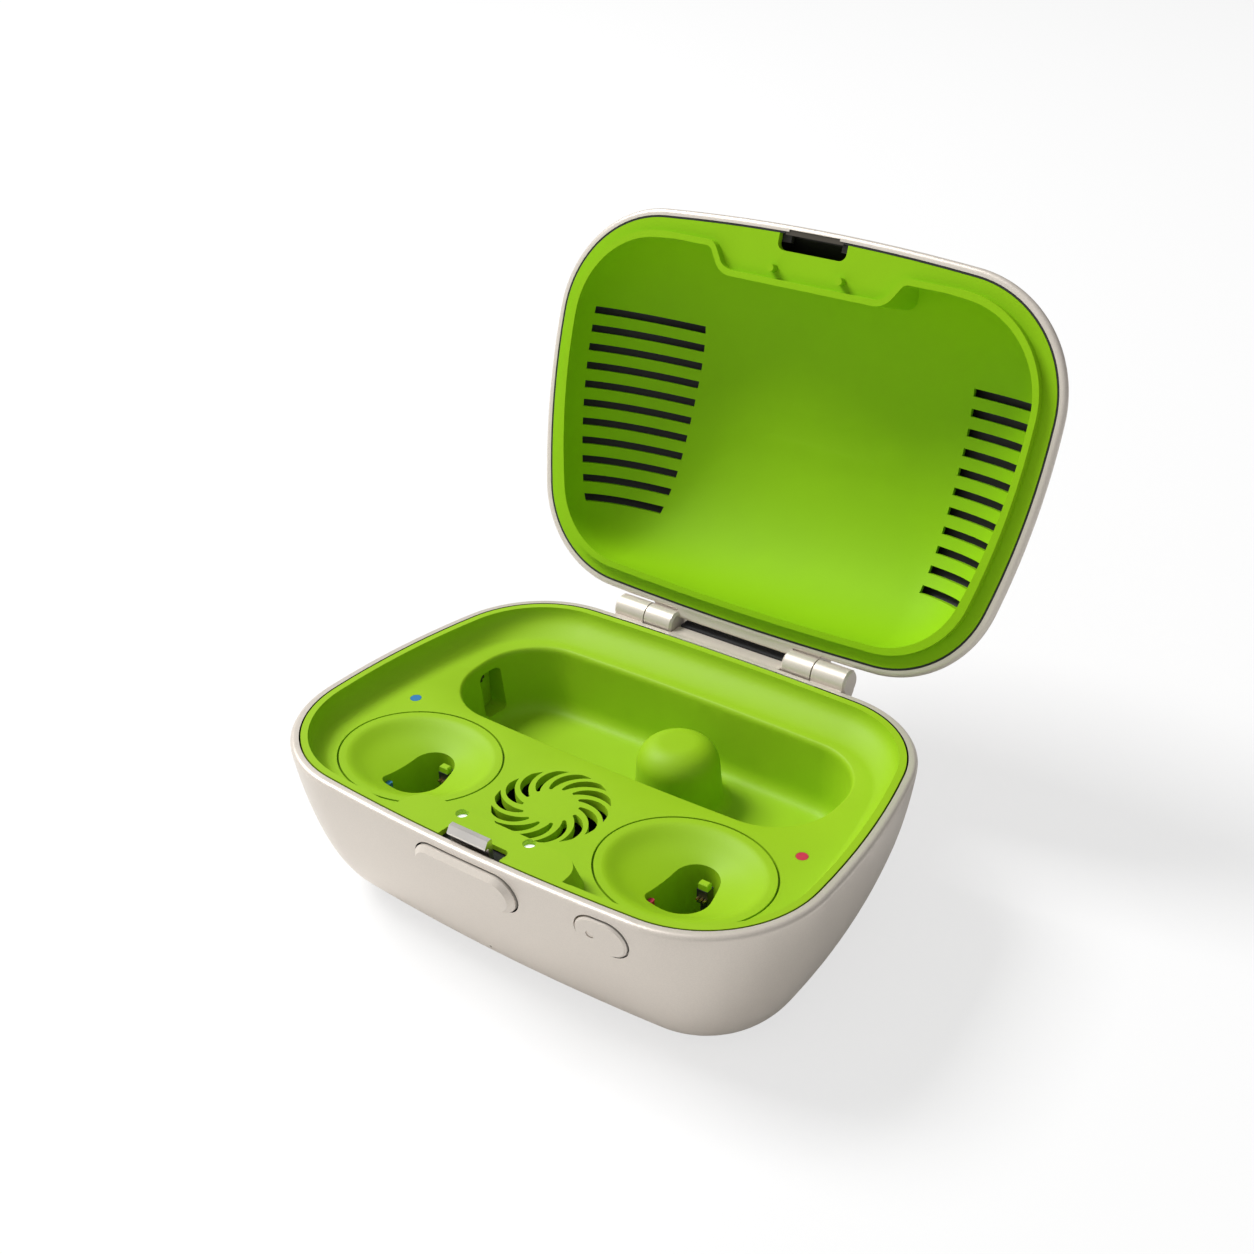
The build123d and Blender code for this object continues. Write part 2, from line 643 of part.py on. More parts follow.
def make_well_insert(side):
    """Oval bowl with an elongated well in its middle."""
    x, y = side * well_x, yw(well_y)
    mx, my = mouth_middle(side)

    def bowl(grow, lower):
        steps = [(0.0, bowl_rx + 1.1, bowl_ry + 1.1, 0.0), (0.35, bowl_rx, bowl_ry, 0.0),
                 (1.25, bowl_rx - 1.6, bowl_ry - 1.4, 0.1), (2.4, bowl_rx - 4.6, bowl_ry - 3.1, 0.5),
                 (bowl_depth, bowl_rx - 7.7, bowl_ry - 4.7, 0.9),
                 (bowl_depth + bowl_spill, bowl_foot_rx, bowl_foot_ry, 1.0)]
        rings = []
        for drop, rx, ry, blend in steps:
            middle = (x + (mx - x) * blend, y + (my - y) * blend, deck_z - drop - lower)
            rings.append(Pos(*middle) * Ellipse(rx + grow, ry + grow))
        return loft(rings)

    def mouth(grow, low, high):
        arcs = [Pos(mx + ax, my + ay, low) * Circle(radius + grow) for ax, ay, radius in mouth_arcs]
        return extrude(make_hull([arc.edge() for arc in arcs]), high - low)

    outer = ellipse_prism(well_rx - well_seam, well_ry - well_seam, x, y, deck_z - well_flange, deck_z)
    skin = bowl(-0.2, well_flange - 0.1)
    outer += skin & block((-far, far), (-far, far), (deck_z - 8, deck_z - well_flange + 0.1))
    outer += mouth(well_wall, deck_z - well_depth - well_wall, deck_z - bowl_depth)
    return outer - bowl(0.0, 0.0) - mouth(0.0, deck_z - well_depth, deck_z - bowl_depth + 1.5)


well_floor = deck_z - well_depth


def mouth_middle(side):
    """Centre X, Y of a well's mouth."""
    return side * well_mouth_x + well_mouth_shift, yw(well_mouth_y)


def contact_frame(side):
    """Centre X, Y of the contact post and the height of its top."""
    x, y = mouth_middle(side)
    x += contact_x - side * contact_skew_x
    y += contact_y - side * contact_skew_y
    return x, y, deck_z - contact_drop - cap_height


def make_contact_block(side):
    """Black post on the floor of the well, wider at its head."""
    x, y, top = contact_frame(side)
    post = block((x - 0.7, x + 0.9), (y - 0.5, y + 0.9), (well_floor, top))
    return post + block((x - 1.1, x + 0.9), (y - 0.9, y + 0.9), (top - 2.6, top))


def make_contact_cap(side):
    x, y, top = contact_frame(side)
    cap = block((x - 0.95, x + 0.85), (y - 0.75, y + 0.45), (top, top + cap_height))
    return chamfer(cap.edges().group_by(Axis.Z)[-1], 0.15)


def make_contact_pins(side):
    """Three sprung pins on the front of the post's head."""
    x, y, top = contact_frame(side)
    pins = Part()
    for offset in (-0.65, 0.0, 0.65):
        pins += rod(0.22, (x - 0.1 + offset, y - 0.9, top - 1.6), (0, -1, 0), 0.6)
    return pins


def make_side_tab(side):
    """Colour tab low on the front left wall of a well."""
    x, y = mouth_middle(side)
    x, y = x + tab_x, y + tab_y
    tab = block((x - 0.45, x + 0.45), (y - 0.6, y + 0.6), (well_floor, deck_z - tab_drop))
    return fillet(tab.edges().filter_by(Axis.Z), 0.3)


def make_side_dot(side):
    return rod(dot_radius, (side * dot_x, yw(dot_y), deck_z - dot_depth), (0, 0, 1), dot_depth)


def make_sensor_guides():
    """White light guides under the two peg holes, read by the board when the lid shuts."""
    length = deck_drop + deck_thickness - 0.2
    guide = rod(peg_hole - seat, (peg_x, yw(peg_y), under_deck - 0.9), (0, 0, 1), length)
    guide -= rod(peg_hole - seat - guide_wall, (peg_x, yw(peg_y), under_deck + 1.5), (0, 0, 1), length)
    return Pos(peg_shift, 0, 0) * both(guide)


def make_compartment_clip():
    """Black sprung catch for the cleaning tool, high on the pocket's floor."""
    front = yw(clip_mid) - clip_width / 2 + clip_inset
    top = deck_z - clip_drop - clip_inset
    x = -store_half - clip_recess + seat
    plate = block((x, x + 0.8), (front, front + clip_side), (top - clip_fall, top))
    return plate + block((x + 0.7, x + 1.3), (front, front + clip_side), (top - 1.3, top - 0.7))


# ---- Fan ------------------------------------------------------------------------------------
fan_bottom = under_deck - fan_height


def fan_disc(radius, low, high):
    return rod(radius, (0, yw(fan_y), low), (0, 0, 1), high - low)


def make_fan_frame():
    ring = fan_disc(fan_outer, fan_bottom, under_deck) - fan_disc(fan_outer - fan_wall, fan_bottom - 1, under_deck + 1)
    hub = fan_disc(4.0, fan_bottom, fan_bottom + 1.0)
    for index in range(3):
        arm = block((3.0, fan_outer - 0.4), (-0.8, 0.8), (fan_bottom, fan_bottom + 1.0))
        hub += Pos(0, yw(fan_y), 0) * Rot(0, 0, 90 + 120 * index) * arm
    hub += fan_disc(1.6, fan_bottom, fan_bottom + 4.8)
    return ring + hub - fan_disc(0.75 + running, fan_bottom + 0.6, fan_bottom + 6)


def make_fan_motor():
    return fan_disc(3.5, fan_bottom + 1.0, fan_bottom + 4.4) - fan_disc(1.6 + seat, fan_bottom, fan_bottom + 6)


def make_fan_rotor():
    cap = fan_disc(hub_radius, fan_bottom + 1.5, fan_bottom + 6.2)
    cap -= fan_disc(hub_radius - 0.6, fan_bottom + 1, fan_bottom + 5.4)
    cap += fan_disc(0.75, fan_bottom + 1.0, fan_bottom + 5.8)
    low, high = fan_bottom + 1.8, fan_bottom + 5.8
    for index in range(fan_blades):
        start = (hub_radius - 0.3, 0.0)
        end = (rotor_radius * math.cos(-0.45), rotor_radius * math.sin(-0.45))
        middle = ((start[0] + end[0]) / 2 + 0.5, (start[1] + end[1]) / 2 + 0.7)
        arc = ThreePointArc(start, middle, end)
        blade = extrude(Pos(0, 0, low) * Face(offset_ribbon(arc, 0.3)), high - low, dir=(0, 0, 1))
        cap += Pos(0, yw(fan_y), 0) * Rot(0, 0, 360 / fan_blades * index) * blade
    return cap


def offset_ribbon(arc, half):
    """Closed wire of a thin ribbon around a curve in plan."""
    def side(sign):
        points = []
        for step in range(5):
            point, tangent = arc @ (step / 4), arc % (step / 4)
            points.append(Vector(point.X - sign * half * tangent.Y, point.Y + sign * half * tangent.X))
        return points if sign > 0 else points[::-1]

    left, right = side(1), side(-1)
    return Wire([Spline(*left), Line(left[-1], right[0]), Spline(*right), Line(right[-1], left[0])])


# ---- Electronics ----------------------------------------------------------------------------
def make_main_board():
    board = block((-board_half, board_half), (yw(-9.0), yw(33.0)), (board_level, board_level + board_thickness))
    board += block((-8, 8), (yw(32), yw(41.2)), (board_level, board_level + board_thickness))
    for x, y in screw_places():
        board -= rod(post_radius + 0.4, (x, y, board_level - 1), (0, 0, 1), 4)
    for x in (-standoff_x, standoff_x):
        for y in (yw(-3.0), yw(29.2)):
            board -= rod(0.8, (x, y, board_level - 1), (0, 0, 1), 4)
    return board


def make_board_screws():
    screws = Part()
    level = board_level + board_thickness
    for x in (-standoff_x, standoff_x):
        for y in (yw(-3.0), yw(29.2)):
            screws += rod(1.3, (x, y, level), (0, 0, 1), 0.5) + rod(0.55, (x, y, level - 4.0), (0, 0, 1), 4.2)
    return screws


def make_heater_plate():
    under = store_floor - store_wall
    return block((-21, 21), (yw(15), yw(33)), (under - 1.0, under))


def make_battery():
    length, width, height = battery_size
    cell = block((-length / 2, length / 2), (yw(2.5), yw(2.5) + width), (floor_z, floor_z + height))
    return fillet(cell.edges().filter_by(Axis.Z), 2.0)


def make_usb_socket():
    plane = Plane(origin=(0, usb_back - usb_length, usb_z), x_dir=(1, 0, 0), z_dir=(0, 1, 0))
    can = extrude(plane * SlotOverall(usb_width, usb_height), usb_length)
    can -= extrude(Pos(0, 1.2, 0) * plane * SlotOverall(usb_width - 0.7, usb_height - 0.7), usb_length)
    return can + block((-3.3, 3.3), (usb_back - usb_length + 0.5, usb_back - 1.0), (usb_z - 0.35, usb_z + 0.35))


switch_front = flange_back + power_travel + 0.1
switch_z = under_deck - 0.2


def make_power_switch():
    w, d, h = switch_size
    can = block((power_x - w / 2, power_x + w / 2), (switch_front + 0.9, switch_front + d), (switch_z - h, switch_z))
    return can + rod(0.9, (power_x, switch_front, switch_z - h / 2), (0, 1, 0), 1.2)


def make_switch_board():
    back = switch_front + switch_size[1]
    return block((power_x - 5, power_x + 5), (back, back + 0.8), (under_deck - 9.0, under_deck))


# ---- Buttons --------------------------------------------------------------------------------
def proud_form(proud):
    """The base's outer form grown by how far a button stands out."""
    return base_form(shell_bottom + 6, rim_height, -proud)


def button_solid(mid_x, top, half, height, proud, bevel, back):
    """Stadium button whose face follows the case, with a bevelled edge."""
    prism_body = stadium_prism(mid_x, top, half, height, 0.0, front_edge - 6, back)
    face = proud_form(proud) & prism_body
    rim = face.faces().sort_by(Axis.Y)[0].edges()
    return chamfer(rim, bevel)


def make_latch_button():
    body = button_solid(0, latch_top, latch_half, latch_height, latch_proud, latch_bevel, carriage_front)
    return body - block((-hook_half - 0.15, hook_half + 0.15), (carriage_front - 0.35, carriage_front + 1),
                        (carriage_bottom + 0.9, rim_height))


def make_latch_carriage():
    plate = block((-carriage_half, carriage_half), (carriage_front, carriage_back),
                  (carriage_bottom, carriage_top))
    plate += block((-shelf_half, shelf_half), (carriage_back - 0.1, shelf_back),
                   (carriage_top - shelf_thickness, carriage_top))
    window = block((-hook_half - seat, hook_half + seat), (carriage_front - 1, wide_y - hook_back + seat),
                   (carriage_bottom + 1.0, rim_height))
    plate -= window
    for x in (-spring_x, spring_x):
        plate += rod(spring_radius - spring_wire - 0.15, (x, carriage_back - 0.1, under_deck - 2.2), (0, 1, 0), 1.3)
    return plate


def make_latch_hook():
    back = wide_y - hook_back
    front = back - hook_thickness
    low, plane_z = carriage_bottom + 1.0, rim_height
    profile = [(front, low), (back, low), (back, plane_z + hook_rise - 0.25), (back - 0.25, plane_z + hook_rise),
               (front - 0.05, plane_z + hook_rise - 0.05), (front - hook_reach, plane_z + hook_tip),
               (front - hook_reach, plane_z + hook_tip - 0.3), (front, plane_z + keeper_lift + keeper_thickness + 0.2)]
    plane = Plane(origin=(-hook_half, 0, 0), x_dir=(0, 1, 0), z_dir=(1, 0, 0))
    return extrude(plane * make_face(Polyline(*profile, close=True)), 2 * hook_half)


def make_latch_springs():
    length = spring_length
    springs = Part()
    for x in (-spring_x, spring_x):
        path = Helix(pitch=(length - spring_wire - 0.1) / spring_turns, height=length - spring_wire - 0.1,
                     radius=spring_radius)
        section = Plane(origin=path @ 0, z_dir=path % 0) * Circle(spring_wire / 2)
        coil = sweep(section, path=path)
        springs += Pos(x, carriage_back + spring_wire / 2 + 0.05, under_deck - 2.2) * Rot(-90, 0, 0) * coil
    return springs


def make_power_button():
    body = button_solid(power_x, power_top, power_half, power_height, power_proud, power_bevel, flange_front)
    body += block((power_x - flange_half, power_x + flange_half), (flange_front, flange_back),
                  (flange_bottom, flange_top))
    return body - light_bore(slip / 4)


def light_bore(grow):
    z = rim_height - power_top - power_height / 2
    return rod(light_radius + grow, (power_x + light_dx, front_edge - 3, z), (0, 1, 0), 8)


def make_power_light():
    """Light guide in the power button, a little below its face."""
    lens = light_bore(0.0) & proud_form(power_proud - 0.15)
    return lens & block((0, far), (-far, flange_back), (0, far))


# ---- Hinge pins -----------------------------------------------------------------------------
def make_hinge_pins():
    start = lid_knuckle_x + blind_wall + 0.1
    return both(rod(pin_radius, (start, hinge_y, hinge_z), (1, 0, 0), knuckle_end - 1.2 - start))


# ---- Lid, modelled shut and then opened -----------------------------------------------------
lid_levels = [0.0, 0.06, 0.16, 0.3, 0.46, 0.62, 0.76, 0.87, 0.94, 0.98, 0.9975]


def lid_form(grow, rise, low=0.0):
    """Domed loft of the lid; low is where the stack of sections starts."""
    sections = []
    for level in lid_levels:
        t = low / rise + (1 - low / rise) * level if level < 0.9975 else level
        sx = (1 - t**lid_px)**(1 / lid_qx)
        sy = (1 - t**lid_py)**(1 / lid_qy)
        sections.append(plan_scaled(lid_plane + rise * t, grow, sx, sy))
    return loft(sections)


liner_levels = [0.0, 0.2, 0.4, 0.56, 0.7, 0.81, 0.9, 0.955, 0.985, 0.998]


def liner_form(grow, rise):
    """Domed loft of the liner: upright at its foot, elliptical across."""
    sections = []
    for t in liner_levels:
        u = 1 - t * t
        sections.append(plan_scaled(lid_plane + rise * t, grow, u**(1 / liner_q), u**0.5))
    return loft(sections)


liner_ledge = lid_plane + flange_thickness + 0.2


def make_lid_shell():
    body = lid_form(rim_land, lid_rise)
    body = fillet(body.edges().group_by(Axis.Z)[0], rim_round)
    hollow = lid_form(rim_land - lid_wall, lid_rise - lid_wall, 2.4)
    hollow += prism(liner_ledge - 0.01, liner_ledge + 1.3, -1.5)
    hollow += prism(lid_plane - 1, liner_ledge, gasket_gap - 0.1)
    body -= hollow
    # pocket for the hook's nose, with slots at its ends that hold the keeper
    nose, roof = front_edge - 0.7, lid_plane + hook_rise + 0.5
    profile = [(front_edge + 4, lid_plane - 1), (nose, lid_plane - 1), (nose, roof - 1.25),
               (nose + 0.8, roof), (front_edge + 4, roof)]
    pocket = Plane(origin=(-pocket_half, 0, 0), x_dir=(0, 1, 0), z_dir=(1, 0, 0))
    body -= extrude(pocket * make_face(Polyline(*profile, close=True)), 2 * pocket_half)
    body -= make_lid_keeper()
    back_y = wide_y + tray_back + rim_land
    for side in (1, -1):
        start = side * (base_knuckle_x - knuckle_gap)
        body -= rod(knuckle_radius + relief, (start, hinge_y, hinge_z), (side, 0, 0),
                    base_knuckle_length + 2 * knuckle_gap + 0.1)
    arm = [(hinge_y, hinge_z), (hinge_y + knuckle_radius, hinge_z), (hinge_y + 1.9, hinge_z + 2.6),
           (back_y - 1.9, lid_plane + 7.0), (back_y - 2.3, lid_plane + 7.0), (back_y - 1.3, hinge_z + 0.6)]
    own = knuckle(lid_knuckle_x, lid_knuckle_length, arm, 0)
    own -= rod(pin_radius + running, (lid_knuckle_x + blind_wall, hinge_y, hinge_z), (1, 0, 0), lid_knuckle_length)
    bar = block((-lid_knuckle_x - 0.6, lid_knuckle_x + 0.6), (back_y - 0.75, yw(bar_back)),
                (lid_plane + bar_low, lid_plane + bar_high))
    bar = fillet(bar.edges().filter_by(Axis.X).group_by(Axis.Y)[-1], 0.6)
    return body + both(own) + bar


def pad_face(z, grow):
    """Outline of the liner's pad at a height, grown outwards: wide in front, narrower behind its turns."""
    front, shoulder, back = -tray_front - 4, -lid_pad_shoulder, -lid_pad_back
    right = [(far, front), (far, shoulder), (lid_pad_wide, shoulder), (lid_pad_half, back)]
    left = [(-x, y) for x, y in reversed(right)]
    shape = make_face(Polyline(*right, *left, close=True))
    turns = shape.vertices().filter_by(lambda vertex: abs(abs(vertex.X) - lid_pad_wide) < slip)
    shape = fillet(turns, lid_pad_turn)
    shape = fillet(shape.vertices().group_by(Axis.Y)[-1], lid_pad_corner)
    if grow:
        shape = offset(shape, amount=grow)
    return Pos(0, wide_y, z) * shape


def make_lid_liner():
    body = prism(lid_plane, lid_plane + flange_thickness, -0.05)
    body += liner_form(-rib_inner + liner_wall, liner_rise + liner_wall)
    body += prism(lid_plane - rib_drop, lid_plane + 0.1, -rib_outer)
    half_rib = (rib_inner - rib_outer) / 2
    mouth = extrude(plan_scaled(lid_plane - rib_drop - 1, -rib_inner, 1, 1), rib_drop + 1, dir=(0, 0, 1))
    hollow = liner_form(-rib_inner, liner_rise) + mouth
    hollow -= extrude(pad_face(lid_plane - rib_drop - 2, half_rib), 40)
    body -= hollow
    body -= extrude(pad_face(lid_plane - rib_drop - 1, -half_rib), rib_drop + 1)
    body -= extrude(pad_face(lid_plane + flange_thickness, half_rib - 1.2), 40)
    # air slots up both ends
    for index in range(slot_count):
        y = yw(slot_first + slot_pitch * index)
        slot = block((slot_inner, slot_outer), (y - slot_width / 2, y + slot_width / 2),
                     (lid_plane + slot_foot, lid_plane + liner_rise + 5))
        body -= both(slot)
    notch_depth = tray_front - lid_notch_back + 5
    notch = Pos(0, wide_y - lid_notch_back - notch_depth / 2, lid_plane - 2) * RectangleRounded(
        2 * lid_notch_half, notch_depth, lid_notch_corner)
    body -= extrude(notch, 12)
    peg = rod(peg_radius, (peg_x, yw(peg_y), lid_plane + 0.2), (0, 0, -1), peg_length + 0.2)
    return body + Pos(peg_shift, 0, 0) * both(peg)


def make_lid_gasket():
    ring = prism(lid_plane + 0.1, liner_ledge, gasket_gap - 0.15) - prism(lid_plane - 1, liner_ledge + 1, 0.0)
    return ring - block((-hook_half - 2, hook_half + 2), (front_edge - 3, front_edge + 5), (0, far))


def make_lid_keeper():
    z = lid_plane + keeper_lift
    return block((-pocket_half - 0.7, pocket_half + 0.7), (front_edge - 0.65, front_edge + 0.25),
                 (z, z + keeper_thickness))


def opened(piece):
    """The shut lid piece turned to the stop."""
    return piece.rotate(Axis((0, hinge_y, hinge_z), (1, 0, 0)), -lid_open)


# ---- All nodes ------------------------------------------------------------------------------
def make_base_pad():
    return prism(0.0, pad_thickness, -pad_inset)


nodes = {
    "base_shell": make_base_shell,
    "bottom_cover": make_bottom_cover,
    "base_pad": make_base_pad,
    "cover_screws": make_cover_screws,
    "tray": make_tray,
    "tray_gasket": make_tray_gasket,
    "sensor_guides": make_sensor_guides,
    "compartment_clip": make_compartment_clip,
    "hinge_strip": make_hinge_strip,
    "fan_frame": make_fan_frame,
    "fan_motor": make_fan_motor,
    "fan_rotor": make_fan_rotor,
    "main_board": make_main_board,
    "board_screws": make_board_screws,
    "heater_plate": make_heater_plate,
    "battery": make_battery,
    "usb_socket": make_usb_socket,
    "power_switch": make_power_switch,
    "switch_board": make_switch_board,
    "latch_button": make_latch_button,
    "latch_carriage": make_latch_carriage,
    "latch_hook": make_latch_hook,
    "latch_springs": make_latch_springs,
    "power_button": make_power_button,
    "power_light": make_power_light,
    "hinge_pins": make_hinge_pins,
}
for name, side in (("left", -1), ("right", 1)):
    nodes[f"well_insert_{name}"] = lambda side=side: make_well_insert(side)
    nodes[f"contact_block_{name}"] = lambda side=side: make_contact_block(side)
    nodes[f"contact_cap_{name}"] = lambda side=side: make_contact_cap(side)
    nodes[f"contact_pins_{name}"] = lambda side=side: make_contact_pins(side)
    nodes[f"side_tab_{name}"] = lambda side=side: make_side_tab(side)
    nodes[f"side_dot_{name}"] = lambda side=side: make_side_dot(side)
for name, maker in (("lid_shell", make_lid_shell), ("lid_liner", make_lid_liner),
                    ("lid_gasket", make_lid_gasket), ("lid_keeper", make_lid_keeper)):
    nodes[name] = lambda maker=maker: opened(maker())

os.makedirs("parts", exist_ok=True)
for name, maker in nodes.items():
    export_step(maker(), f"parts/{name}.step")
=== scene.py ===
# %% [markdown]
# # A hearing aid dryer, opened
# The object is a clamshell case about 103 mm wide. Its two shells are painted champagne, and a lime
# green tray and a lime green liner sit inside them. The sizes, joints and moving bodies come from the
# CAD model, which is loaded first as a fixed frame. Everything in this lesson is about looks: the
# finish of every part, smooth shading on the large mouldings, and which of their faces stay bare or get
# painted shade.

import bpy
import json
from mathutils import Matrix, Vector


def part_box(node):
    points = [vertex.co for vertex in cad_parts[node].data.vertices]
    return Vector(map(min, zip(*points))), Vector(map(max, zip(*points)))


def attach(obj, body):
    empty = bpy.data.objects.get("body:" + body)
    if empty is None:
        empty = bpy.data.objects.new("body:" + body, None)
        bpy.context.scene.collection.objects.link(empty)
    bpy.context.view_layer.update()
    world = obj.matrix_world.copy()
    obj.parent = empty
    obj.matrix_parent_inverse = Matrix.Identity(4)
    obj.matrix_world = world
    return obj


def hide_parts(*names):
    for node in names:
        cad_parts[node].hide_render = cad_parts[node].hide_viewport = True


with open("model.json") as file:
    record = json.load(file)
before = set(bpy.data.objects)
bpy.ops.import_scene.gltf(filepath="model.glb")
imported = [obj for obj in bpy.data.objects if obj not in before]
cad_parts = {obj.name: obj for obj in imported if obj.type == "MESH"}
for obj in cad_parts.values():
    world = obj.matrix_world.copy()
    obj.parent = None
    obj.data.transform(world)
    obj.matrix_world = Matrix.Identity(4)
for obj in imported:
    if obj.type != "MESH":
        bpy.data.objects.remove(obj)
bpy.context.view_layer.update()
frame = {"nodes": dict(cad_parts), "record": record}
nodes = frame["nodes"]

# %% Blender's modules
import json
import math

import bmesh
import bpy
from mathutils import Matrix, Vector

scene = bpy.context.scene
MM = 0.001
print("Blender", bpy.app.version_string, "working in metres, with MM =", MM)

# %% [markdown]
# ## Places that the later cells share
# If the CAD changes, these values follow.

# %% Landmarks
def middle(node):
    """Centre of a CAD node's box, in metres."""
    low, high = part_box(node)
    return (Vector(low) + Vector(high)) / 2


rim_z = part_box("tray")[1][2]
print("rim at", round(rim_z / MM, 2), "mm, hinge line at", [round(v / MM, 2) for v in middle("hinge_pins")])

# %% [markdown]
# ## The camera
# A product shot like this one uses a portrait lens from a little above, turned towards the right
# front corner. The direction is given by an azimuth and an elevation, and the camera's own three axes
# are built from them. A small roll follows. Building the matrix from axes avoids Euler angle puzzles,
# and an offset along right and up slides the frame without turning the view.

# %% Camera
LENS = 49.706           # mm, on a 36 mm wide sensor
DISTANCE = 282.169      # mm, from the aim to the camera
SLIDE_RIGHT, SLIDE_UP = 11.474, 24.679
AIM_FORWARD = 12.75     # mm, from the origin towards the front of the case


def camera_axes(azimuth, elevation, roll):
    """Right, up and backward unit vectors of a camera that looks at the object."""
    a, e, r = (math.radians(value) for value in (azimuth, elevation, roll))
    back = Vector((math.sin(a) * math.cos(e), -math.cos(a) * math.cos(e), math.sin(e)))
    right = Vector((0, 0, 1)).cross(back).normalized()
    up = back.cross(right)
    return (math.cos(r) * right + math.sin(r) * up,
            math.cos(r) * up - math.sin(r) * right, back)


right, up, back = camera_axes(azimuth=37.433, elevation=30.391, roll=-1.831)
aim = Vector((0, -AIM_FORWARD * MM, rim_z))
eye = aim + (right * SLIDE_RIGHT + up * SLIDE_UP + back * DISTANCE) * MM
camera = bpy.data.objects.new("camera", bpy.data.cameras.new("camera"))
camera.data.lens = LENS
placing = Matrix((right, up, back)).transposed().to_4x4()
placing.translation = eye
camera.matrix_world = placing
scene.collection.objects.link(camera)
scene.camera = camera
print("camera", [round(value / MM, 1) for value in eye], "mm, lens", camera.data.lens)

# %% [markdown]
# ## Shader maths as Python
# Wiring nodes one by one hides the idea of a material. Here one small class wraps an output socket,
# so that "0.4 + speckle * 0.1" adds the Math nodes by itself, and its node method adds any other
# kind of node with its settings and inputs. A material then reads like a recipe.

# %% The Signal class
class Signal:
    """One output socket. Arithmetic adds Math nodes, and node() adds any other kind."""

    def __init__(self, tree, socket=None):
        self.tree, self.socket = tree, socket

    def node(self, kind, settings=None, inputs=None, output=0):
        made = self.tree.nodes.new(kind)
        for name, value in (settings or {}).items():
            if name == "stops":
                set_stops(made.color_ramp, value)
            else:
                setattr(made, name, value)
        for name, value in (inputs or {}).items():
            if isinstance(value, Signal):
                self.tree.links.new(value.socket, made.inputs[name])
            else:
                made.inputs[name].default_value = value
        return Signal(self.tree, made.outputs[output])

    def math(self, operation, first, second=0.0):
        return self.node("ShaderNodeMath", {"operation": operation}, {0: first, 1: second})

    def __add__(self, other):
        return self.math("ADD", self, other)

    __radd__ = __add__

    def __sub__(self, other):
        return self.math("SUBTRACT", self, other)

    def __rsub__(self, other):
        return self.math("SUBTRACT", other, self)

    def __mul__(self, other):
        return self.math("MULTIPLY", self, other)

    __rmul__ = __mul__


def set_stops(ramp, stops):
    """Gives a colour ramp its stops as (position, grey level) pairs."""
    while len(ramp.elements) < len(stops):
        ramp.elements.new(1.0)
    for element, (position, level) in zip(ramp.elements, stops):
        element.position = position
        element.color = (level, level, level, 1)


print("Signal knows +, - and *, on either side of a number")

# %% [markdown]
# A finish starts as a Principled shader with a few constants. Only what really changes over the
# surface is wired: colour, roughness and bump. Patterns read Object coordinates, which are metres
# here, so a scale of 4000 gives cells of a quarter of a millimetre.

# %% Starting a finish
def start_finish(name, colour, roughness, **constants):
    """A material with its constants set; returns it, a Signal to build on, and its shader."""
    material = bpy.data.materials.new(name)
    material.use_nodes = True
    shader = material.node_tree.nodes["Principled BSDF"]
    shader.inputs["Base Color"].default_value = (*colour, 1)
    shader.inputs["Roughness"].default_value = roughness
    for socket, value in constants.items():
        shader.inputs[socket.replace("_", " ")].default_value = value
    return material, Signal(material.node_tree), shader


def feed(shader, socket, signal):
    """Links a signal to one of the shader's inputs."""
    signal.tree.links.new(signal.socket, shader.inputs[socket])


def place(start, stretch=(1, 1, 1)):
    """Object coordinates, stretched about the origin."""
    coordinates = start.node("ShaderNodeTexCoord", output="Object")
    return start.node("ShaderNodeMapping", inputs={"Vector": coordinates, "Scale": stretch})


def noise(start, scale, detail=2.0, stretch=(1, 1, 1)):
    """Soft noise from 0 to 1 with features of about 1/scale metres."""
    return start.node("ShaderNodeTexNoise",
                      inputs={"Vector": place(start, stretch), "Scale": scale, "Detail": detail})


def tinted(start, factor, low, high):
    """A colour between two, by a factor."""
    return start.node("ShaderNodeMix", {"data_type": "RGBA"},
                      {0: factor, 6: (*low, 1), 7: (*high, 1)}, output=2)


def relief(start, height, distance, strength=1.0):
    """A bump of a real depth in metres."""
    return start.node("ShaderNodeBump",
                      inputs={"Height": height, "Distance": distance, "Strength": strength})


def shade(colour, factor):
    """A colour made lighter or darker by a factor."""
    return tuple(channel * factor for channel in colour)


print("finish helpers ready")

# %% [markdown]
# ## Champagne paint
# The shells are sprayed with a satin paint that carries fine metal flake. It could be a metal with
# one roughness, but real flake sparkles a little and scatters light widely. So a half metallic base
# gets tiny cells that each shift the colour and the gloss, and a very shallow orange peel bends the
# highlight the way sprayed paint does. A thin clear coat closes it.

# %% Champagne paint
CHAMPAGNE = (0.66, 0.60, 0.53)
FLAKES_PER_METRE = 7000.0


def champagne_paint(name, colour, roughness):
    material, start, shader = start_finish(name, colour, roughness, Metallic=0.35, Coat_Weight=0.2,
                                           Coat_Roughness=0.3)
    flake = start.node("ShaderNodeTexVoronoi", inputs={"Vector": place(start), "Scale": FLAKES_PER_METRE},
                       output="Color")
    sparkle = start.node("ShaderNodeSeparateColor", inputs={"Color": flake}, output="Red")
    cloud = noise(start, 60.0, 3.0)
    blend = sparkle * 0.55 + cloud * 0.45
    feed(shader, "Base Color", tinted(start, blend, shade(colour, 0.94), shade(colour, 1.06)))
    feed(shader, "Roughness", roughness - 0.05 + sparkle * 0.07 + cloud * 0.04)
    feed(shader, "Normal", relief(start, noise(start, 900.0, 2.0), 0.02 * MM, 0.25))
    return material


paint = champagne_paint("champagne paint", CHAMPAGNE, roughness=0.42)
print(paint.name, "has", len(paint.node_tree.nodes), "nodes")

